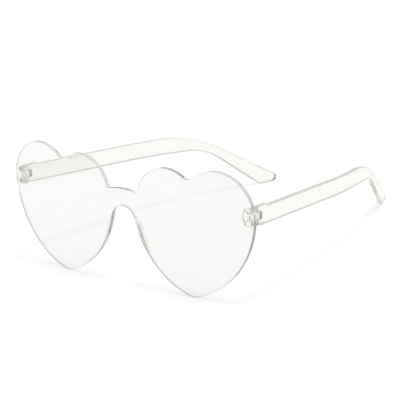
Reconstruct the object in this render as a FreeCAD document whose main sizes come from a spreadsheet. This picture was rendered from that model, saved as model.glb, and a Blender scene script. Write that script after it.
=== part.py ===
"""Clear rimless heart sunglasses: a one-piece lens shield with pads, end pieces and folding temples."""
import FreeCAD, Part
import math
import os
from types import SimpleNamespace

import Sketcher

# Lens frame: X to the wearer's left, Y from the front of the bridge to the back, Z up from the
# heart tips. Lengths are in millimetres and angles in degrees.
SIZES = {
    # Bent lens sheet
    "lens_radius": 535.0,
    "lens_thickness": 2.0,
    # Heart outline, as circles that run into each other
    "front_width": 144.6,
    "heart_offset": 38.5,
    "tip_radius": 7.9,
    "outer_lobe_height": 40.1,
    "outer_lobe_radius": 19.3,
    "outer_side_radius": 43.7,
    "inner_lobe_offset": 12.7,
    "inner_lobe_height": 40.4,
    "inner_lobe_radius": 17.4,
    "inner_side_radius": 43.0,
    "cleft_radius": 4.2,
    # Bridge between the hearts
    "nose_edge_offset": 5.8,
    "nose_arch_height": 37.0,
    "bridge_top_height": 45.0,
    "bridge_crown_radius": 43.0,
    # Hinge axis, measured from the lens's outer edge, its back face and the outer lobe's middle
    "hinge_inset": 2.8,
    "hinge_setback": 3.2,
    "hinge_rise": 0.3,
    # Knuckles and pin
    "hinge_length": 8.1,
    "knuckle_radius": 1.7,
    "knuckle_bevel": 0.4,
    "middle_knuckle": 3.3,
    "knuckle_gap": 0.15,
    "hinge_gap": 0.3,
    "hinge_slot": 0.7,
    "neck_width": 1.7,
    "pin_radius": 0.7,
    "pin_clearance": 0.05,
    "pin_recess": 0.1,
    "pin_bevel": 0.2,
    # End piece, its tongue through a slot in the lens and the glue that holds it
    "end_piece_inboard": 3.2,
    "end_piece_outboard": 1.6,
    "end_piece_corner": 1.0,
    "tongue_radius": 1.05,
    "tongue_height": 4.5,
    "tongue_inset": 1.65,
    "tongue_rise": 0.45,
    "tongue_clearance": 0.05,
    "tongue_recess": 0.1,
    "glue_line": 0.05,
    # Temple seen from above
    "blade_thickness": 2.4,
    "blade_toe_in": 6.3,
    "bow_start": 61.6,
    "bow_radius": 162.0,
    "ear_toe_in": 25.0,
    # Temple seen from the side
    "butt_length": 4.5,
    "blade_height": 8.2,
    "blade_drop": 0.5,
    "blade_angle": 3.1,
    "top_bend_start": 86.5,
    "top_bend_radius": 56.6,
    "ear_top_angle": 33.2,
    "low_bend_start": 98.7,
    "low_bend_radius": 28.3,
    "ear_low_angle": 40.4,
    "toe_radius": 2.4,
    "heel_radius": 4.0,
    "blade_bevel": 0.4,
    # Nose pad
    "pad_top_height": 32.8,
    "pad_length": 15.8,
    "pad_depth": 2.0,
    "pad_base_width": 2.1,
    "pad_splay": 0.2,
    "pad_edge_radius": 0.6,
    # Lean of the lens when the glasses stand on the heart tips and temple tips
    "rest_lean": 2.8,
    # Overrun of cutting outlines, and depth to which a boss is rooted in its block
    "waste": 3.0,
    "root": 0.4,
}

# Sizes that follow from the driving ones.
DERIVED = {
    "lens_edge": "front_width / 2",
    "back_radius": "lens_radius - lens_thickness",
    "seat_radius": "back_radius - glue_line",
    "blank_edge": "lens_edge + waste",
    "blank_front": "0 - waste",
    "blank_depth": "lens_radius - sqrt(back_radius^2 - blank_edge^2)",
    "blank_back": "blank_depth + waste",
    "outer_lobe_middle": "lens_edge - outer_lobe_radius",
    "inner_lobe_middle": "heart_offset - inner_lobe_offset",
    "inner_side_middle": "nose_edge_offset + inner_side_radius",
    "inner_side_reach": "inner_side_radius - tip_radius",
    "inner_side_height": "tip_radius + sqrt(inner_side_reach^2 - (inner_side_middle - heart_offset)^2)",
    "hinge_offset": "lens_edge - hinge_inset",
    "hinge_height": "outer_lobe_height + hinge_rise",
    "hinge_depth": "lens_radius - sqrt(back_radius^2 - hinge_offset^2) + hinge_setback",
    "hinge_low": "hinge_height - hinge_length / 2",
    "hinge_high": "hinge_height + hinge_length / 2",
    "knuckle_inner": "hinge_offset - knuckle_radius",
    "knuckle_outer": "hinge_offset + knuckle_radius",
    "knuckle_front": "hinge_depth - knuckle_radius",
    "knuckle_low": "hinge_height - middle_knuckle / 2",
    "slot_low": "knuckle_low - knuckle_gap",
    "slot_high": "hinge_height + middle_knuckle / 2 + knuckle_gap",
    "slot_front": "knuckle_front - waste",
    "pin_hole_radius": "pin_radius + pin_clearance",
    "pin_low": "hinge_low + pin_recess",
    "pin_length": "hinge_length - 2 * pin_recess",
    "butt_face": "hinge_depth + knuckle_radius + hinge_slot",
    "butt_end": "butt_face + butt_length",
    "blade_width": "blade_thickness / cos(blade_toe_in * 1 deg)",
    "butt_outer": "knuckle_outer - butt_length * tan(blade_toe_in * 1 deg)",
    "butt_inner": "butt_outer - blade_width",
    "blade_line": "knuckle_outer + (knuckle_radius + hinge_slot) * tan(blade_toe_in * 1 deg) - blade_width / 2",
    "block_face": "hinge_depth - knuckle_radius - hinge_gap",
    "block_inner": "hinge_offset - end_piece_inboard",
    "block_outer": "hinge_offset + end_piece_outboard",
    "notch_inner": "knuckle_inner + neck_width",
    "notch_outer": "block_outer + waste",
    "notch_floor": "hinge_depth - knuckle_radius - hinge_slot",
    "notch_back": "block_face + waste",
    "neck_root": "notch_floor - root",
    "tongue_offset": "hinge_offset - tongue_inset",
    "tongue_middle": "hinge_height + tongue_rise",
    "tongue_reach": "tongue_height / 2 - tongue_radius",
    "tongue_low": "tongue_middle - tongue_reach",
    "tongue_high": "tongue_middle + tongue_reach",
    "tongue_slot_radius": "tongue_radius + tongue_clearance",
    "tongue_front": "lens_radius - sqrt(lens_radius^2 - tongue_offset^2) + tongue_recess",
    "tongue_plane": "0 - tongue_front",
    "tongue_length": "neck_root - tongue_front",
    "bow_inner": "bow_radius - blade_thickness / 2",
    "bow_outer": "bow_radius + blade_thickness / 2",
    "bow_reach": "bow_start * tan(blade_toe_in * 1 deg) + bow_radius * cos(blade_toe_in * 1 deg)",
    "bow_offset": "blade_line - bow_reach",
    "bow_depth": "hinge_depth + bow_start - bow_radius * sin(blade_toe_in * 1 deg)",
    "blade_heading": "90 + blade_toe_in",
    "ear_heading": "90 + ear_toe_in",
    "blade_end": "hinge_depth + bow_start + bow_radius",
    "blade_top": "hinge_height - blade_drop + blade_height / 2",
    "blade_low": "hinge_height - blade_drop - blade_height / 2",
    "top_bend_depth": "hinge_depth + top_bend_start",
    "low_bend_depth": "hinge_depth + low_bend_start",
    "top_heading": "0 - blade_angle",
    "ear_top_heading": "0 - ear_top_angle",
    "low_heading": "180 - blade_angle",
    "ear_low_heading": "180 - ear_low_angle",
    "floor_depth": "lens_radius - sqrt(back_radius^2 - heart_offset^2)",
    "side_front": "butt_face - waste",
    "side_back": "blade_end + waste",
    "side_low": "0 - waste",
    "side_high": "hinge_height + blade_height",
    "side_top": "side_high + waste",
}

# Each pad section: its share of the pad's length from the top, and its share of the full section.
PAD_SECTIONS = ((0.0, 0.35), (0.28, 1.0), (0.68, 0.9), (1.0, 0.35))


def pad_sizes():
    """Sizes of each level section of the nose pad, which follows the heart's inner side."""
    sizes = {}
    for number, (share, scale) in enumerate(PAD_SECTIONS):
        name = f"pad_{number}_"
        sizes[name + "level"] = f"pad_top_height - {share} * pad_length"
        sizes[name + "drop"] = f"inner_side_height - {name}level"
        sizes[name + "edge"] = f"inner_side_middle - sqrt(inner_side_radius^2 - {name}drop^2)"
        sizes[name + "back"] = f"lens_radius - sqrt(back_radius^2 - {name}edge^2)"
        sizes[name + "seat"] = f"{name}back - root"
        sizes[name + "outer"] = f"{name}edge + (1 + {scale}) / 2 * pad_base_width"
        sizes[name + "round"] = f"{scale} * pad_edge_radius"
        sizes[name + "rim"] = f"{name}edge + {name}round + {scale} * pad_splay"
        sizes[name + "crest"] = f"{name}back + {scale} * pad_depth - {name}round"
    return sizes


def make_sheet(doc):
    """Sheet of the driving sizes and those that follow; returns all their values."""
    sheet = doc.addObject("Spreadsheet::Sheet", "Sizes")
    rows = [(name, str(value)) for name, value in SIZES.items()]
    rows += [(name, "=" + rule) for name, rule in {**DERIVED, **pad_sizes()}.items()]
    for row, (name, content) in enumerate(rows, 1):
        sheet.set(f"A{row}", name)
        sheet.set(f"B{row}", content)
        sheet.setAlias(f"B{row}", name)
    doc.recompute()
    return SimpleNamespace(**{name: float(sheet.get(name)) for name, _ in rows})


DOC = FreeCAD.newDocument("HeartSunglasses")
S = make_sheet(DOC)


def vector(point):
    return FreeCAD.Vector(point[0], point[1], 0)


def line(start, end):
    return Part.LineSegment(vector(start), vector(end))


def arc(centre, radius, start, end):
    """Arc that runs anticlockwise from one point to another."""
    first = math.atan2(start[1] - centre[1], start[0] - centre[0])
    last = math.atan2(end[1] - centre[1], end[0] - centre[0])
    if last <= first:
        last += 2 * math.pi
    return Part.ArcOfCircle(Part.Circle(vector(centre), FreeCAD.Vector(0, 0, 1), radius), first, last)


def towards(start, end, distance):
    """Point on the way from one point through another, at a distance from the first."""
    length = math.dist(start, end)
    return tuple(a + (b - a) * distance / length for a, b in zip(start, end))


def meet(first, first_distance, second, second_distance):
    """Point at a distance from each of two points, on the left of the way from first to second."""
    gap = math.dist(first, second)
    along = (first_distance**2 - second_distance**2 + gap**2) / (2 * gap)
    aside = math.sqrt(first_distance**2 - along**2)
    east = (second[0] - first[0]) / gap
    north = (second[1] - first[1]) / gap
    return (first[0] + east * along - north * aside, first[1] + north * along + east * aside)


def fall(point, angle, distance):
    """Point reached by going a distance along the first axis while falling at an angle."""
    return (point[0] + distance, point[1] - distance * math.tan(math.radians(angle)))


def crossing(first, first_angle, second, second_angle):
    """Point where two lines cross, each given by a point and the angle at which it falls."""
    first_slope = -math.tan(math.radians(first_angle))
    second_slope = -math.tan(math.radians(second_angle))
    rise = second[1] - first[1] + first_slope * first[0] - second_slope * second[0]
    where = rise / (first_slope - second_slope)
    return (where, first[1] + first_slope * (where - first[0]))


def touch(point, centre, radius, side):
    """Point where a line from a point touches a circle, on the left (1) or right (-1) of the way to it."""
    away = math.atan2(point[1] - centre[1], point[0] - centre[0])
    angle = away - side * math.acos(radius / math.dist(point, centre))
    return (centre[0] + radius * math.cos(angle), centre[1] + radius * math.sin(angle))


def corner_arc(before, corner, after, radius):
    """Centre and the two touching points of an arc that rounds a corner."""
    into = math.atan2(before[1] - corner[1], before[0] - corner[0])
    out = math.atan2(after[1] - corner[1], after[0] - corner[0])
    half = ((out - into + math.pi) % (2 * math.pi) - math.pi) / 2
    distance = radius / math.sin(abs(half))
    reach = radius / math.tan(abs(half))
    centre = (corner[0] + distance * math.cos(into + half), corner[1] + distance * math.sin(into + half))
    return centre, towards(corner, before, reach), towards(corner, after, reach)


def rounded_loop(corners):
    """Edges of a closed outline through (point, radius) corners, and the edges that end at a sharp one."""
    stops = []
    for index, (point, radius) in enumerate(corners):
        before = corners[index - 1][0]
        after = corners[(index + 1) % len(corners)][0]
        stops.append(corner_arc(before, point, after, radius) if radius else (None, point, point))
    edges = []
    sharp = []
    for index, (centre, start, end) in enumerate(stops):
        if centre:
            inward = (start[0] - centre[0], start[1] - centre[1])
            outward = (end[0] - centre[0], end[1] - centre[1])
            left_turn = inward[0] * outward[1] > inward[1] * outward[0]
            first, last = (start, end) if left_turn else (end, start)
            edges.append(arc(centre, math.dist(centre, start), first, last))
        follower = stops[(index + 1) % len(stops)]
        edges.append(line(end, follower[1]))
        if not follower[0]:
            sharp.append(len(edges) - 1)
    return edges, sharp


def origin_plane(body, role):
    return next(feature for feature in body.Origin.OriginFeatures if feature.Role == role)


def new_body(label):
    body = DOC.addObject("PartDesign::Body", label)
    body.Label = label
    return body


def new_sketch(body, name, role, lift=None):
    """Sketch on one of the body's origin planes, lifted along its normal by a named size."""
    sketch = body.newObject("Sketcher::SketchObject", name)
    sketch.AttachmentSupport = [(origin_plane(body, role), "")]
    sketch.MapMode = "FlatFace"
    if lift:
        height = FreeCAD.Vector(0, 0, getattr(S, lift))
        sketch.AttachmentOffset = FreeCAD.Placement(height, FreeCAD.Rotation())
        sketch.setExpression("AttachmentOffset.Base.z", f"Sizes.{lift}")
    return sketch


def add_loop(sketch, edges, sharp=()):
    """Adds edges end to end as a closed loop, smooth at every joint except after those in sharp."""
    ids = [sketch.addGeometry(edge, False) for edge in edges]
    pairs = [(a, b) for a in (1, 2) for b in (1, 2)]
    for index, edge in enumerate(edges):
        after = (index + 1) % len(edges)
        ends = {1: edge.StartPoint, 2: edge.EndPoint}
        starts = {1: edges[after].StartPoint, 2: edges[after].EndPoint}
        here, there = min(pairs, key=lambda pair: ends[pair[0]].distanceToPoint(starts[pair[1]]))
        kind = "Coincident" if index in sharp else "Tangent"
        sketch.addConstraint(Sketcher.Constraint(kind, ids[index], here, ids[after], there))
    return ids


def hold(sketch, kind, *places):
    """Adds one plain constraint, such as Vertical, at each place."""
    for place in places:
        sketch.addConstraint(Sketcher.Constraint(kind, *place))


def bind(sketch, kind, place, size):
    """Adds a dimension at its present value and binds it to a named size."""
    edge = sketch.Geometry[place[0]]
    if kind == "Radius":
        constraint = Sketcher.Constraint(kind, place[0], edge.Radius)
    elif kind == "Angle":
        run = edge.EndPoint - edge.StartPoint
        constraint = Sketcher.Constraint(kind, place[0], math.atan2(run.y, run.x))
    else:
        point = sketch.getPoint(*place)
        value = point.x if kind == "DistanceX" else point.y
        constraint = Sketcher.Constraint(kind, -1, 1, *place, value)
    index = sketch.addConstraint(constraint)
    sketch.setExpression(f"Constraints[{index}]", f"Sizes.{size}")


def bind_point(sketch, place, across, up):
    bind(sketch, "DistanceX", place, across)
    bind(sketch, "DistanceY", place, up)


def bind_circle(sketch, edge, radius, across, up):
    bind(sketch, "Radius", (edge,), radius)
    bind_point(sketch, (edge, 3), across, up)


def add_circle(sketch, radius, across, up):
    """Circle whose radius and centre are named sizes."""
    centre = vector((getattr(S, across), getattr(S, up)))
    circle = Part.Circle(centre, FreeCAD.Vector(0, 0, 1), getattr(S, radius))
    bind_circle(sketch, sketch.addGeometry(circle, False), radius, across, up)


def add_slot(sketch, radius, across, low, high):
    """Upright slot with round ends, whose radius and end centres are named sizes."""
    half, middle, bottom, top = (getattr(S, size) for size in (radius, across, low, high))
    left, right = middle - half, middle + half
    edges = [arc((middle, bottom), half, (left, bottom), (right, bottom)), line((right, bottom), (right, top)),
             arc((middle, top), half, (right, top), (left, top)), line((left, top), (left, bottom))]
    ids = add_loop(sketch, edges)
    bind_circle(sketch, ids[0], radius, across, low)
    bind_circle(sketch, ids[2], radius, across, high)


def add_box(sketch, low, high):
    """Rectangle between two corners, each a pair of named sizes."""
    left, bottom = (getattr(S, size) for size in low)
    right, top = (getattr(S, size) for size in high)
    corners = ((left, bottom), (right, bottom), (right, top), (left, top))
    edges = [line(corners[index - 1], corners[index]) for index in range(4)]
    ids = add_loop(sketch, edges, sharp=range(4))
    hold(sketch, "Vertical", (ids[0],), (ids[2],))
    hold(sketch, "Horizontal", (ids[1],), (ids[3],))
    bind_point(sketch, (ids[0], 2), *low)
    bind_point(sketch, (ids[2], 2), *high)


def pad(body, sketch, length, reverse=False):
    """Solid raised from a sketch by a named size."""
    feature = body.newObject("PartDesign::Pad", sketch.Name + "Pad")
    feature.Profile = sketch
    feature.Reversed = reverse
    feature.setExpression("Length", f"Sizes.{length}")
    return feature


def cut_through(body, sketch):
    """Cut through the whole body on both sides of its sketch."""
    feature = body.newObject("PartDesign::Pocket", sketch.Name + "Cut")
    feature.Profile = sketch
    feature.Midplane = True
    feature.Type = "ThroughAll"
    return feature


def bevel_edges(body, name, size, wanted):
    """Bevels the edges of a body that a test picks out."""
    DOC.recompute()
    base = body.Tip
    edges = [f"Edge{number}" for number, edge in enumerate(base.Shape.Edges, 1) if wanted(edge)]
    feature = body.newObject("PartDesign::Chamfer", name)
    feature.Base = (base, edges)
    feature.setExpression("Size", f"Sizes.{size}")


def draw_lens_half(sketch):
    """One half of the shield's outline, from the nose arch round the heart to the bridge's crown."""
    tip = (S.heart_offset, S.tip_radius)
    outer_lobe = (S.outer_lobe_middle, S.outer_lobe_height)
    inner_lobe = (S.inner_lobe_middle, S.inner_lobe_height)
    inner_side = (S.inner_side_middle, S.inner_side_height)
    outer_side = meet(tip, S.outer_side_radius - S.tip_radius,
                      outer_lobe, S.outer_side_radius - S.outer_lobe_radius)
    cleft = meet(inner_lobe, S.inner_lobe_radius + S.cleft_radius,
                 outer_lobe, S.outer_lobe_radius + S.cleft_radius)
    rise = S.inner_side_height - S.nose_arch_height
    overlap = S.inner_side_middle**2 + rise**2 - S.inner_side_radius**2
    arch_radius = overlap / (2 * (S.inner_side_radius - rise))
    arch = (0, S.nose_arch_height - arch_radius)
    crown = (0, S.bridge_top_height - S.bridge_crown_radius)
    arch_top = (0, S.nose_arch_height)
    crown_top = (0, S.bridge_top_height)
    bridge_corner = meet(crown, S.bridge_crown_radius, inner_lobe, S.inner_lobe_radius)
    arch_end = towards(arch, inner_side, arch_radius)
    inner_foot = towards(inner_side, tip, S.inner_side_radius)
    outer_foot = towards(outer_side, tip, S.outer_side_radius)
    outer_hip = towards(outer_side, outer_lobe, S.outer_side_radius)
    outer_cleft = towards(cleft, outer_lobe, S.cleft_radius)
    inner_cleft = towards(cleft, inner_lobe, S.cleft_radius)
    edges = [
        arc(arch, arch_radius, arch_end, arch_top),
        arc(inner_side, S.inner_side_radius, arch_end, inner_foot),
        arc(tip, S.tip_radius, inner_foot, outer_foot),
        arc(outer_side, S.outer_side_radius, outer_foot, outer_hip),
        arc(outer_lobe, S.outer_lobe_radius, outer_hip, outer_cleft),
        arc(cleft, S.cleft_radius, inner_cleft, outer_cleft),
        arc(inner_lobe, S.inner_lobe_radius, inner_cleft, bridge_corner),
        arc(crown, S.bridge_crown_radius, bridge_corner, crown_top),
        line(crown_top, arch_top),
    ]
    ids = add_loop(sketch, edges, sharp=(6, 7, 8))
    arch_id, inner_id, tip_id, outer_id, outer_lobe_id, cleft_id, inner_lobe_id, crown_id, mirror_id = ids
    hold(sketch, "PointOnObject", (arch_id, 3, -2), (crown_id, 3, -2), (mirror_id, 1, -2), (mirror_id, 2, -2))
    bind_circle(sketch, tip_id, "tip_radius", "heart_offset", "tip_radius")
    bind_circle(sketch, outer_lobe_id, "outer_lobe_radius", "outer_lobe_middle", "outer_lobe_height")
    bind_circle(sketch, inner_lobe_id, "inner_lobe_radius", "inner_lobe_middle", "inner_lobe_height")
    bind(sketch, "Radius", (outer_id,), "outer_side_radius")
    bind(sketch, "Radius", (cleft_id,), "cleft_radius")
    bind(sketch, "Radius", (inner_id,), "inner_side_radius")
    bind(sketch, "DistanceX", (inner_id, 3), "inner_side_middle")
    bind(sketch, "Radius", (crown_id,), "bridge_crown_radius")
    bind(sketch, "DistanceY", (mirror_id, 1), "bridge_top_height")
    bind(sketch, "DistanceY", (mirror_id, 2), "nose_arch_height")


def draw_sheet_waste(sketch, radius, far):
    """What lies beyond one bent face, seen from above: from an arc of a named radius to a named depth."""
    bend = getattr(S, radius)
    depth = getattr(S, far)
    near_end = (0, S.lens_radius - bend)
    far_end = (S.blank_edge, S.lens_radius - math.sqrt(bend**2 - S.blank_edge**2))
    edges = [arc((0, S.lens_radius), bend, near_end, far_end), line(far_end, (S.blank_edge, depth)),
             line((S.blank_edge, depth), (0, depth)), line((0, depth), near_end)]
    ids = add_loop(sketch, edges, sharp=range(4))
    hold(sketch, "PointOnObject", (ids[0], 3, -2), (ids[3], 1, -2), (ids[3], 2, -2))
    hold(sketch, "Vertical", (ids[1],))
    hold(sketch, "Horizontal", (ids[2],))
    bind(sketch, "Radius", (ids[0],), radius)
    bind(sketch, "DistanceY", (ids[0], 3), "lens_radius")
    bind_point(sketch, (ids[1], 2), "blank_edge", far)


def make_lens_shield():
    """A bent sheet cut to two hearts and a bridge, with a slot for the end piece's tongue on each side."""
    body = new_body("lens_shield")
    outline = new_sketch(body, "LensHalf", "XZ_Plane")
    draw_lens_half(outline)
    blank = pad(body, outline, "blank_depth", reverse=True)
    waste = new_sketch(body, "SheetWaste", "XY_Plane")
    draw_sheet_waste(waste, "lens_radius", "blank_front")
    draw_sheet_waste(waste, "back_radius", "blank_back")
    bent = cut_through(body, waste)
    slot = new_sketch(body, "TongueSlot", "XZ_Plane")
    add_slot(slot, "tongue_slot_radius", "tongue_offset", "tongue_low", "tongue_high")
    slotted = cut_through(body, slot)
    DOC.recompute()
    whole = body.newObject("PartDesign::Mirrored", "WholeShield")
    whole.Originals = [blank, bent, slotted]
    whole.MirrorPlane = (origin_plane(body, "YZ_Plane"), [""])
    body.Tip = whole
    return body


def cut_to_seat(body, name):
    """Trims a piece to the bent back face of the lens, less the glue line."""
    sketch = new_sketch(body, name, "XY_Plane")
    draw_sheet_waste(sketch, "seat_radius", "blank_front")
    cut_through(body, sketch)


def add_pin_hole(body, name, radius):
    """Hole along the hinge axis."""
    sketch = new_sketch(body, name, "XY_Plane")
    add_circle(sketch, radius, "hinge_offset", "hinge_depth")
    cut_through(body, sketch)


def add_block(body):
    """Block behind the lens, with rounded corners in the front view."""
    sketch = new_sketch(body, "Block", "XZ_Plane")
    corners = ((S.block_inner, S.hinge_low), (S.block_outer, S.hinge_low),
               (S.block_outer, S.hinge_high), (S.block_inner, S.hinge_high))
    edges, sharp = rounded_loop([(corner, S.end_piece_corner) for corner in corners])
    ids = add_loop(sketch, edges, sharp)
    for corner in ids[0::2]:
        bind(sketch, "Radius", (corner,), "end_piece_corner")
    hold(sketch, "Horizontal", (ids[1],), (ids[5],))
    hold(sketch, "Vertical", (ids[3],), (ids[7],))
    bind(sketch, "DistanceY", (ids[1], 1), "hinge_low")
    bind(sketch, "DistanceX", (ids[3], 1), "block_outer")
    bind(sketch, "DistanceY", (ids[5], 1), "hinge_high")
    bind(sketch, "DistanceX", (ids[7], 1), "block_inner")
    pad(body, sketch, "block_face", reverse=True)
    cut_to_seat(body, "Seat")


def cut_notch(body):
    """Outer part of the block's back face, cut deeper beside the neck of the middle knuckle."""
    sketch = new_sketch(body, "Notch", "XY_Plane", "knuckle_low")
    add_box(sketch, ("notch_inner", "notch_floor"), ("notch_outer", "notch_back"))
    feature = body.newObject("PartDesign::Pocket", "NotchCut")
    feature.Profile = sketch
    feature.Reversed = True
    feature.setExpression("Length", "Sizes.middle_knuckle")


def add_middle_knuckle(body):
    """Barrel round the pin, held by a neck on its inner side, so that a slot shows from outside."""
    sketch = new_sketch(body, "Knuckle", "XY_Plane", "knuckle_low")
    drop = math.sqrt(S.knuckle_radius**2 - (S.notch_inner - S.hinge_offset)**2)
    inner_touch = (S.knuckle_inner, S.hinge_depth)
    neck_top = (S.notch_inner, S.hinge_depth - drop)
    inner_root = (S.knuckle_inner, S.neck_root)
    outer_root = (S.notch_inner, S.neck_root)
    edges = [arc((S.hinge_offset, S.hinge_depth), S.knuckle_radius, neck_top, inner_touch),
             line(inner_touch, inner_root), line(inner_root, outer_root), line(outer_root, neck_top)]
    ids = add_loop(sketch, edges, sharp=(1, 2, 3))
    hold(sketch, "Vertical", (ids[1],), (ids[3],))
    hold(sketch, "Horizontal", (ids[2],))
    bind_circle(sketch, ids[0], "knuckle_radius", "hinge_offset", "hinge_depth")
    bind_point(sketch, (ids[2], 2), "notch_inner", "neck_root")
    pad(body, sketch, "middle_knuckle")


def add_tongue(body):
    """Tongue from the block to just under the lens's front face."""
    sketch = new_sketch(body, "Tongue", "XZ_Plane", "tongue_plane")
    add_slot(sketch, "tongue_radius", "tongue_offset", "tongue_low", "tongue_high")
    pad(body, sketch, "tongue_length", reverse=True)


def make_end_piece():
    """Block on the lens's back face with a tongue through it, and the hinge's middle knuckle on a neck."""
    body = new_body("left_end_piece")
    add_block(body)
    cut_notch(body)
    add_middle_knuckle(body)
    add_tongue(body)
    add_pin_hole(body, "PinHole", "pin_hole_radius")
    return body


def make_hinge_pin():
    """Plain pin, a little shorter than the hinge at each end."""
    body = new_body("left_hinge_pin")
    sketch = new_sketch(body, "PinSection", "XY_Plane", "pin_low")
    add_circle(sketch, "pin_radius", "hinge_offset", "hinge_depth")
    pad(body, sketch, "pin_length")
    bevel_edges(body, "PinBevel", "pin_bevel", lambda edge: len(edge.Vertexes) == 1)
    return body


def draw_blade_plan(sketch):
    """The temple's strip seen from above: straight, then bowed in, then straight to its tip."""
    hub = (S.bow_offset, S.bow_depth)
    toe_in = math.radians(S.blade_toe_in)
    ear_in = math.radians(S.ear_toe_in)
    faces = []
    for radius in (S.bow_outer, S.bow_inner):
        start = (hub[0] + radius * math.cos(toe_in), hub[1] + radius * math.sin(toe_in))
        end = (hub[0] + radius * math.cos(ear_in), hub[1] + radius * math.sin(ear_in))
        front = (start[0] + (start[1] - S.butt_face) * math.tan(toe_in), S.butt_face)
        back = (end[0] - (S.blade_end - end[1]) * math.tan(ear_in), S.blade_end)
        faces.append((front, start, end, back))
    outer, inner = faces
    edges = [line(outer[0], outer[1]), arc(hub, S.bow_outer, outer[1], outer[2]), line(outer[2], outer[3]),
             line(outer[3], inner[3]),
             line(inner[3], inner[2]), arc(hub, S.bow_inner, inner[1], inner[2]), line(inner[1], inner[0]),
             line(inner[0], outer[0])]
    ids = add_loop(sketch, edges, sharp=(2, 3, 6, 7))
    hold(sketch, "Horizontal", (ids[3],), (ids[7],))
    hold(sketch, "Coincident", (ids[1], 3, ids[5], 3))
    bind_circle(sketch, ids[1], "bow_outer", "bow_offset", "bow_depth")
    bind(sketch, "Radius", (ids[5],), "bow_inner")
    bind(sketch, "Angle", (ids[0],), "blade_heading")
    bind(sketch, "Angle", (ids[2],), "ear_heading")
    bind(sketch, "DistanceY", (ids[7], 1), "butt_face")
    bind(sketch, "DistanceY", (ids[3], 1), "blade_end")


def side_corners():
    """Corners of the temple seen from the side, each with its radius, from the butt's top edge round."""
    slope = math.radians(S.blade_angle)
    bends = []
    for height, depth, radius, angle in ((S.blade_top, S.top_bend_depth, S.top_bend_radius, S.ear_top_angle),
                                         (S.blade_low, S.low_bend_depth, S.low_bend_radius, S.ear_low_angle)):
        start = fall((S.butt_face, height), S.blade_angle, depth - S.butt_face)
        reach = radius * math.tan((math.radians(angle) - slope) / 2)
        bends.append((start[0] + reach * math.cos(slope), start[1] - reach * math.sin(slope)))
    top_bend, low_bend = bends
    floor = (S.floor_depth, 0)
    toe = crossing(top_bend, S.ear_top_angle, floor, -S.rest_lean)
    heel = crossing(low_bend, S.ear_low_angle, floor, -S.rest_lean)
    return (((S.butt_face, S.blade_top), 0), (top_bend, S.top_bend_radius), (toe, S.toe_radius),
            (heel, S.heel_radius), (low_bend, S.low_bend_radius), ((S.butt_face, S.blade_low), 0))


def draw_side_waste(sketch):
    """A frame round the temple's side outline, whose inside is kept; its foot lies on the floor."""
    edges, sharp = rounded_loop(side_corners())
    ids = add_loop(sketch, edges, sharp)
    top, top_bend, ear_top, toe, foot, heel, ear_low, low_bend, low, butt = ids
    hold(sketch, "Vertical", (butt,))
    bind_point(sketch, (top, 1), "butt_face", "blade_top")
    bind(sketch, "DistanceY", (butt, 1), "blade_low")
    bind(sketch, "Angle", (top,), "top_heading")
    bind(sketch, "DistanceX", (top, 2), "top_bend_depth")
    bind(sketch, "Radius", (top_bend,), "top_bend_radius")
    bind(sketch, "Angle", (ear_top,), "ear_top_heading")
    bind(sketch, "Radius", (toe,), "toe_radius")
    bind(sketch, "Radius", (heel,), "heel_radius")
    bind(sketch, "Angle", (ear_low,), "ear_low_heading")
    bind(sketch, "Radius", (low_bend,), "low_bend_radius")
    bind(sketch, "Angle", (low,), "low_heading")
    bind(sketch, "DistanceX", (low, 1), "low_bend_depth")
    rise = (S.side_back - S.floor_depth) * math.tan(math.radians(S.rest_lean))
    floor = sketch.addGeometry(line((S.floor_depth, 0), (S.side_back, rise)), True)
    hold(sketch, "PointOnObject", (floor, 1, -1), (foot, 1, floor), (foot, 2, floor))
    bind(sketch, "DistanceX", (floor, 1), "floor_depth")
    bind(sketch, "DistanceX", (floor, 2), "side_back")
    bind(sketch, "Angle", (floor,), "rest_lean")
    add_box(sketch, ("side_front", "side_low"), ("side_back", "side_top"))


def add_fork(body):
    """Fork blank from the blade to the pin: round in front on the inner side, square outside as a stop."""
    sketch = new_sketch(body, "Fork", "XY_Plane", "hinge_low")
    axis = (S.hinge_offset, S.hinge_depth)
    inner_side = (S.knuckle_inner, S.hinge_depth)
    nose = (S.hinge_offset, S.knuckle_front)
    stop = (S.knuckle_outer, S.knuckle_front)
    outer_butt = (S.knuckle_outer, S.butt_face)
    inner_butt = (S.knuckle_inner, S.butt_face)
    outer_end = (S.butt_outer, S.butt_end)
    inner_end = (S.butt_inner, S.butt_end)
    edges = [arc(axis, S.knuckle_radius, inner_side, nose), line(nose, stop), line(stop, outer_butt),
             line(outer_butt, outer_end), line(outer_end, inner_end), line(inner_end, inner_butt),
             line(inner_butt, inner_side)]
    ids = add_loop(sketch, edges, sharp=(1, 2, 3, 4, 5))
    bind_circle(sketch, ids[0], "knuckle_radius", "hinge_offset", "hinge_depth")
    hold(sketch, "Horizontal", (ids[1],))
    hold(sketch, "Vertical", (ids[2],), (ids[6],))
    bind_point(sketch, (ids[2], 2), "knuckle_outer", "butt_face")
    bind_point(sketch, (ids[3], 2), "butt_outer", "butt_end")
    bind_point(sketch, (ids[4], 2), "butt_inner", "butt_end")
    bind(sketch, "DistanceY", (ids[5], 2), "butt_face")
    pad(body, sketch, "hinge_length")


def cut_fork_slot(body):
    """Slot between the fork's two knuckles, open to the front."""
    sketch = new_sketch(body, "ForkSlot", "YZ_Plane")
    add_box(sketch, ("slot_front", "slot_low"), ("butt_face", "slot_high"))
    cut_through(body, sketch)


def is_blade_rim(edge):
    """Whether an edge runs along the blade or round its tip, and not across its thickness."""
    middle = edge.CenterOfMass
    across = edge.BoundBox.YLength < S.blade_thickness and edge.BoundBox.ZLength < S.blade_thickness / 4
    return middle.y > S.butt_end and edge.Length > S.blade_thickness and not across


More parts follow.
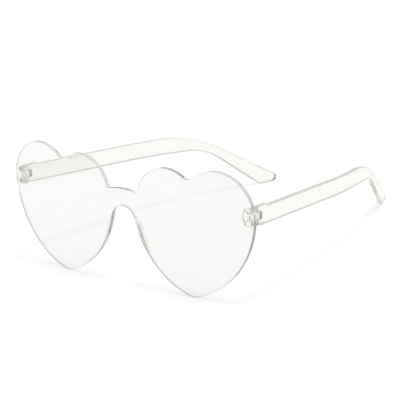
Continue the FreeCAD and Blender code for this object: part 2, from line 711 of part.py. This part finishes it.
def is_fork_nose(edge):
    """Whether an edge bounds the top or bottom of the fork's round front."""
    level = edge.BoundBox.ZLength < S.knuckle_gap
    height = edge.CenterOfMass.z
    outside = min(abs(height - S.hinge_low), abs(height - S.hinge_high)) < S.knuckle_gap
    return level and outside and edge.BoundBox.YMax < S.hinge_depth + S.knuckle_gap


def make_temple():
    """Flat temple, bowed in and bent down behind the ear, with a fork of two knuckles at its butt."""
    body = new_body("left_temple")
    plan = new_sketch(body, "BladePlan", "XY_Plane")
    draw_blade_plan(plan)
    pad(body, plan, "side_high")
    side = new_sketch(body, "BladeSide", "YZ_Plane")
    draw_side_waste(side)
    cut_through(body, side)
    bevel_edges(body, "BladeBevel", "blade_bevel", is_blade_rim)
    add_fork(body)
    bevel_edges(body, "ForkBevel", "knuckle_bevel", is_fork_nose)
    cut_fork_slot(body)
    add_pin_hole(body, "PinSeat", "pin_radius")
    return body


def draw_pad_section(body, number):
    """One level section of the nose pad: a wedge with a rounded edge that leans away from the nose."""
    name = f"pad_{number}_"
    sketch = new_sketch(body, f"PadSection{number}", "XY_Plane", name + "level")
    size = {key[len(name):]: value for key, value in vars(S).items() if key.startswith(name)}
    inner = (size["edge"], size["seat"])
    outer = (size["outer"], size["seat"])
    crest = (size["rim"], size["crest"])
    outer_touch = touch(outer, crest, size["round"], -1)
    inner_touch = touch(inner, crest, size["round"], 1)
    edges = [line(inner, outer), line(outer, outer_touch),
             arc(crest, size["round"], outer_touch, inner_touch), line(inner_touch, inner)]
    ids = add_loop(sketch, edges, sharp=(0, 3))
    bind_point(sketch, (ids[0], 1), name + "edge", name + "seat")
    bind_point(sketch, (ids[0], 2), name + "outer", name + "seat")
    bind_circle(sketch, ids[2], name + "round", name + "rim", name + "crest")
    return sketch


def make_nose_pad():
    """Soft pad along the heart's nose side, thickest near its top and tapered at both ends."""
    body = new_body("left_nose_pad")
    sections = [draw_pad_section(body, number) for number in range(len(PAD_SECTIONS))]
    loft = body.newObject("PartDesign::AdditiveLoft", "PadLoft")
    loft.Profile = sections[0]
    loft.Sections = sections[1:]
    cut_to_seat(body, "PadSeat")
    return body


def mirror(part):
    """The right-hand twin of a left-hand piece."""
    twin = DOC.addObject("Part::Mirroring", part.Name.replace("left", "right"))
    twin.Label = part.Label.replace("left", "right")
    twin.Source = part
    twin.Normal = FreeCAD.Vector(1, 0, 0)
    return twin


def rest(parts):
    """Leans the glasses back onto the tips of the hearts and temples, centred over the origin."""
    lean = FreeCAD.Rotation(FreeCAD.Vector(1, 0, 0), -S.rest_lean)
    turn = FreeCAD.Placement(FreeCAD.Vector(), lean).toMatrix()
    boxes = [part.Shape.transformed(turn).optimalBoundingBox(False, False) for part in parts]
    middle = (min(box.YMin for box in boxes) + max(box.YMax for box in boxes)) / 2
    lift = S.floor_depth * math.sin(math.radians(S.rest_lean))
    for part in parts:
        part.Placement = FreeCAD.Placement(FreeCAD.Vector(0, -middle, lift), lean)


def check(parts):
    for item in DOC.Objects:
        if "Invalid" in item.State or "Error" in item.State:
            raise RuntimeError(f"{item.Name} failed: {item.State}")
    for part in parts:
        if part.Shape.isNull() or not part.Shape.isValid() or len(part.Shape.Solids) != 1:
            raise RuntimeError(f"{part.Label} has no valid solid")


def main():
    shield = make_lens_shield()
    left = [make_nose_pad(), make_end_piece(), make_hinge_pin(), make_temple()]
    DOC.recompute()
    right = [mirror(part) for part in left]
    rest([shield] + left)
    DOC.recompute()
    parts = [shield] + left + right
    check(parts)
    os.makedirs("parts", exist_ok=True)
    for part in parts:
        part.Shape.exportStep(f"parts/{part.Label}.step")


main()
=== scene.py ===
"""Looks of the clear heart shaped sunglasses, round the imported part: materials, soft pads, floor, light, camera."""
import math

import bpy
from mathutils import Matrix, Vector


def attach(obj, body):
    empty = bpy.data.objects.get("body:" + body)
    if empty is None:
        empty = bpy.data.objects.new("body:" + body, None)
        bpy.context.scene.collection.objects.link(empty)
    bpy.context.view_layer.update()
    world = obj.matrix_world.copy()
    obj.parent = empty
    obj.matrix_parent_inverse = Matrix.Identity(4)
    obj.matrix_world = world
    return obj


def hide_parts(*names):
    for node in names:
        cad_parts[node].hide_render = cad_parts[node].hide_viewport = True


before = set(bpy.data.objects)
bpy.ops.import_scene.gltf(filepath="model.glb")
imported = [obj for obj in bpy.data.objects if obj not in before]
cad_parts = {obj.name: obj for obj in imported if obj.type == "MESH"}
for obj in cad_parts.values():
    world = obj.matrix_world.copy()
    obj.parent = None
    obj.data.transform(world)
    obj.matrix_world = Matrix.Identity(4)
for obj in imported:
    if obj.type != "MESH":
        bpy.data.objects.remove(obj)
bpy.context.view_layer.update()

MM = 0.001

# camera: millimetres and degrees, in the part's own frame
CAMERA_EYE = (601.764, -702.743, 318.173)
CAMERA_AIM = (-2.295, -20.0, 22.763)
CAMERA_ROLL = 4.773
CAMERA_LENS = 182.1
CAMERA_CLIP = (10.0, 50000.0)
SENSOR_WIDTH = 36.0

# floor: its width in metres, the share of its white that is its own, and its paper
FLOOR_SIZE = 12.0
FLOOR_GLOW = 0.7
FLOOR_ROUGHNESS = 0.9
FIBRE_MM = 6.0
FIBRE_DETAIL = 3.0

# sky: its strength overhead and at the horizon, and the rise (1 is straight up) over which one turns into the other
SKY_STRENGTH = 0.7
ROOM_STRENGTH = 0.5
ROOM_TOP = (0.1, 0.55)

# softbox: its strength, its width in degrees, and the way to it
KEY_STRENGTH = 1.5
KEY_SPREAD = 17.0
KEY_FROM = (0.2, 0.05, 1.0)
LIGHT_BOUNCES = 64

# optics of the clear plastics
POLYCARBONATE_IOR = 1.585
SILICONE_IOR = 1.41
LAMP_PASS = "#FDFDFD"
LAMP_LOST = "#000000"

# finish of the clear plastics: handling marks, and how far they change the roughness; slow waves; rounded edges
SMUDGE_MM = 4.0
SMUDGE_DETAIL = 4.0
SMUDGE_RANGE = (0.35, 0.75)
SMUDGE_ROUGHENING = (0.6, 1.8)
WAVE_DETAIL = 2.0
WAVE_STRENGTH = 0.25
EDGE_SAMPLES = 4

# soft pads: weld and skin in millimetres, then the smoothing's share and passes
PAD_WELD = 0.01
PAD_SKIN = 0.15
PAD_SMOOTHING = 0.5
PAD_PASSES = 3


def linear(hexcode):
    """An sRGB hex colour as linear RGBA."""
    channels = [int(hexcode[i:i + 2], 16) / 255 for i in (1, 3, 5)]
    return [c / 12.92 if c <= 0.04045 else ((c + 0.055) / 1.055) ** 2.4 for c in channels] + [1.0]


def node(tree, kind, inputs=None, **settings):
    """Adds a node; inputs are values, or sockets to link from, by socket name or number."""
    made = tree.nodes.new(kind)
    for name, value in settings.items():
        setattr(made, name, value)
    for key, value in (inputs or {}).items():
        if isinstance(value, bpy.types.NodeSocket):
            tree.links.new(value, made.inputs[key])
        else:
            made.inputs[key].default_value = value
    return made


def noise(tree, place, size_mm, detail):
    """Noise from 0 to 1 whose patches are about size_mm wide."""
    made = node(tree, "ShaderNodeTexNoise", {"Vector": place, "Scale": 1 / (size_mm * MM), "Detail": detail})
    return made.outputs["Fac"]


def between(tree, factor, first, second):
    """Colour between two hex colours."""
    made = node(tree, "ShaderNodeMix", {"Factor": factor, "A": linear(first), "B": linear(second)},
                data_type="RGBA")
    return made.outputs["Result"]


def new_material(name):
    """An empty node material and its tree."""
    material = bpy.data.materials.new(name)
    material.use_nodes = True
    material.node_tree.nodes.clear()
    return material, material.node_tree


def clear_plastic(name, tint, depth_colour, density, ior, roughness, edge_mm, wave_mm, wave_depth_mm):
    """Clear plastic with soft edges, slow waves and faint handling marks, darker along a long way through it."""
    material, tree = new_material(name)
    place = node(tree, "ShaderNodeTexCoord").outputs["Object"]
    wave = noise(tree, place, wave_mm, WAVE_DETAIL)
    smudge = noise(tree, place, SMUDGE_MM, SMUDGE_DETAIL)
    gloss = node(tree, "ShaderNodeMapRange",
                 {"Value": smudge, "From Min": SMUDGE_RANGE[0], "From Max": SMUDGE_RANGE[1],
                  "To Min": roughness * SMUDGE_ROUGHENING[0], "To Max": roughness * SMUDGE_ROUGHENING[1]})
    edge = node(tree, "ShaderNodeBevel", {"Radius": edge_mm * MM}, samples=EDGE_SAMPLES)
    ripple = node(tree, "ShaderNodeBump", {"Height": wave, "Strength": WAVE_STRENGTH,
                                           "Distance": wave_depth_mm * MM, "Normal": edge.outputs["Normal"]})
    clear = node(tree, "ShaderNodeBsdfPrincipled",
                 {"Base Color": between(tree, smudge, *tint), "Roughness": gloss.outputs["Result"], "IOR": ior,
                  "Transmission Weight": 1.0, "Normal": ripple.outputs["Normal"]})
    # lamp light that grazes the plastic glances off it, so an upright sheet keeps its thin shadow
    graze = node(tree, "ShaderNodeFresnel", {"IOR": ior}).outputs[0]
    passed = node(tree, "ShaderNodeBsdfTransparent", {"Color": between(tree, graze, LAMP_PASS, LAMP_LOST)})
    lamps = node(tree, "ShaderNodeLightPath").outputs["Is Shadow Ray"]
    surface = node(tree, "ShaderNodeMixShader", {0: lamps, 1: clear.outputs[0], 2: passed.outputs[0]})
    inside = node(tree, "ShaderNodeVolumeAbsorption", {"Color": linear(depth_colour), "Density": density})
    node(tree, "ShaderNodeOutputMaterial", {"Surface": surface.outputs[0], "Volume": inside.outputs[0]})
    return material


def dress(piece, material):
    """Gives a piece one material."""
    piece.data.materials.clear()
    piece.data.materials.append(material)


def soften_pad(name, material):
    """The silicone pad: a welded copy of its solid with an even skin, smoothed until its edges are soft."""
    bpy.ops.object.select_all(action="DESELECT")
    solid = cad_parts[name]
    solid.select_set(True)
    bpy.context.view_layer.objects.active = solid
    bpy.ops.object.duplicate()
    pad = bpy.context.object
    pad.name = name + "_silicone"
    bpy.ops.object.mode_set(mode="EDIT")
    bpy.ops.mesh.select_all(action="SELECT")
    bpy.ops.mesh.remove_doubles(threshold=PAD_WELD * MM)
    bpy.ops.object.mode_set(mode="OBJECT")
    skin = pad.modifiers.new("even_skin", "REMESH")
    skin.mode = "VOXEL"
    skin.voxel_size = PAD_SKIN * MM
    bpy.ops.object.modifier_apply(modifier=skin.name)
    soft = pad.modifiers.new("soft_edges", "SMOOTH")
    soft.factor = PAD_SMOOTHING
    soft.iterations = PAD_PASSES
    bpy.ops.object.modifier_apply(modifier=soft.name)
    bpy.ops.object.shade_smooth()
    dress(pad, material)
    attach(pad, "front")
    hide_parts(name)


def make_floor():
    """White paper sweep that keeps the soft shadows; part of its white is its own to whatever looks at it."""
    bpy.ops.object.select_all(action="DESELECT")
    bpy.ops.mesh.primitive_plane_add(size=FLOOR_SIZE, location=(0, 0, 0))
    floor = bpy.context.object
    floor.name = "floor"
    # matt white paper: a clean ground whose fibres are too faint to tell apart
    material, tree = new_material("white_paper_sweep")
    place = node(tree, "ShaderNodeTexCoord").outputs["Object"]
    paper = between(tree, noise(tree, place, FIBRE_MM, FIBRE_DETAIL), "#FEFEFE", "#FFFFFF")
    matt = node(tree, "ShaderNodeBsdfPrincipled",
                {"Base Color": paper, "Roughness": FLOOR_ROUGHNESS, "Specular IOR Level": 0.0})
    glow = node(tree, "ShaderNodeEmission", {"Color": paper, "Strength": 1.0})
    path = node(tree, "ShaderNodeLightPath")
    direct = node(tree, "ShaderNodeMath", {0: path.outputs["Is Camera Ray"], 1: path.outputs["Is Glossy Ray"]},
                  operation="ADD")
    seen = node(tree, "ShaderNodeMath", {0: direct.outputs[0], 1: path.outputs["Is Transmission Ray"]},
                operation="ADD", use_clamp=True)
    share = node(tree, "ShaderNodeMath", {0: seen.outputs[0], 1: FLOOR_GLOW}, operation="MULTIPLY")
    both = node(tree, "ShaderNodeMixShader", {0: share.outputs[0], 1: matt.outputs[0], 2: glow.outputs[0]})
    node(tree, "ShaderNodeOutputMaterial", {"Surface": both.outputs[0]})
    dress(floor, material)


def make_light():
    """A sky dimmer than the floor, and dimmest at the horizon, which draws the edges of clear things; one softbox."""
    scene = bpy.context.scene
    world = bpy.data.worlds.new("studio")
    scene.world = world
    world.use_nodes = True
    tree = world.node_tree
    tree.nodes.clear()
    way = node(tree, "ShaderNodeTexCoord").outputs["Generated"]
    rise = node(tree, "ShaderNodeSeparateXYZ", {"Vector": way}).outputs["Z"]
    level = node(tree, "ShaderNodeMapRange",
                 {"Value": rise, "From Min": ROOM_TOP[0], "From Max": ROOM_TOP[1],
                  "To Min": ROOM_STRENGTH, "To Max": SKY_STRENGTH}, interpolation_type="SMOOTHSTEP")
    sky = node(tree, "ShaderNodeBackground",
               {"Color": linear("#FFFFFF"), "Strength": level.outputs["Result"]})
    node(tree, "ShaderNodeOutputWorld", {"Surface": sky.outputs[0]})
    key = bpy.data.lights.new("key_softbox", "SUN")
    key.energy = KEY_STRENGTH
    key.angle = math.radians(KEY_SPREAD)
    lamp = bpy.data.objects.new("key_softbox", key)
    lamp.rotation_euler = Vector(KEY_FROM).to_track_quat("Z", "Y").to_euler()
    # a softbox has no hard image of its own in the plastic
    lamp.visible_transmission = False
    lamp.visible_glossy = False
    scene.collection.objects.link(lamp)
    # light runs a long way along the clear sheet before it leaves by an edge
    scene.cycles.max_bounces = LIGHT_BOUNCES
    scene.cycles.transmission_bounces = LIGHT_BOUNCES
    scene.cycles.glossy_bounces = LIGHT_BOUNCES


def make_camera():
    """A long lens from the wearer's left front, turned a little about its own line of sight."""
    data = bpy.data.cameras.new("camera")
    data.lens = CAMERA_LENS
    data.sensor_width = SENSOR_WIDTH
    data.clip_start, data.clip_end = (limit * MM for limit in CAMERA_CLIP)
    camera = bpy.data.objects.new("camera", data)
    eye, aim = Vector(CAMERA_EYE) * MM, Vector(CAMERA_AIM) * MM
    roll = Matrix.Rotation(math.radians(-CAMERA_ROLL), 3, "Z")
    turn = (aim - eye).to_track_quat("-Z", "Y").to_matrix() @ roll
    camera.matrix_world = Matrix.Translation(eye) @ turn.to_4x4()
    bpy.context.scene.collection.objects.link(camera)
    bpy.context.scene.camera = camera


# flat polished sheet: nearly colourless face on, grey where it is seen along the sheet
sheet = clear_plastic("clear_polycarbonate_sheet", tint=("#F7F7F5", "#F4F4F2"), depth_colour="#C4C5BC",
                      density=5.0, ior=POLYCARBONATE_IOR, roughness=0.02, edge_mm=0.6,
                      wave_mm=30.0, wave_depth_mm=0.02)
# moulded blades: a little warmer, wavier in the gloss, olive grey along the blade
blade = clear_plastic("clear_moulded_polycarbonate", tint=("#F8F8F5", "#F6F6F2"), depth_colour="#C6C49A",
                      density=10.0, ior=POLYCARBONATE_IOR, roughness=0.03, edge_mm=0.8,
                      wave_mm=14.0, wave_depth_mm=0.05)
# small moulded knuckles: the clearest of the plastics, so that the hinge's corners read as crisp bars
knuckle = clear_plastic("clear_moulded_knuckle", tint=("#FDFDFC", "#FBFBF9"), depth_colour="#C4C5B4",
                        density=3.0, ior=POLYCARBONATE_IOR, roughness=0.02, edge_mm=0.05,
                        wave_mm=4.0, wave_depth_mm=0.01)
# soft silicone: greyer in its depth than the rest and bends light less, so that the pads read as their own bodies
silicone = clear_plastic("clear_silicone", tint=("#FBFBF9", "#F6F6F4"), depth_colour="#8C8D80",
                         density=35.0, ior=SILICONE_IOR, roughness=0.03, edge_mm=0.05,
                         wave_mm=6.0, wave_depth_mm=0.02)
for name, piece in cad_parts.items():
    if name == "lens_shield":
        dress(piece, sheet)
    elif name.endswith("temple"):
        dress(piece, blade)
    elif name.endswith("nose_pad"):
        dress(piece, silicone)
        soften_pad(name, silicone)
    else:
        dress(piece, knuckle)

make_floor()
make_light()
make_camera()
bpy.context.scene.view_settings.view_transform = "Standard"
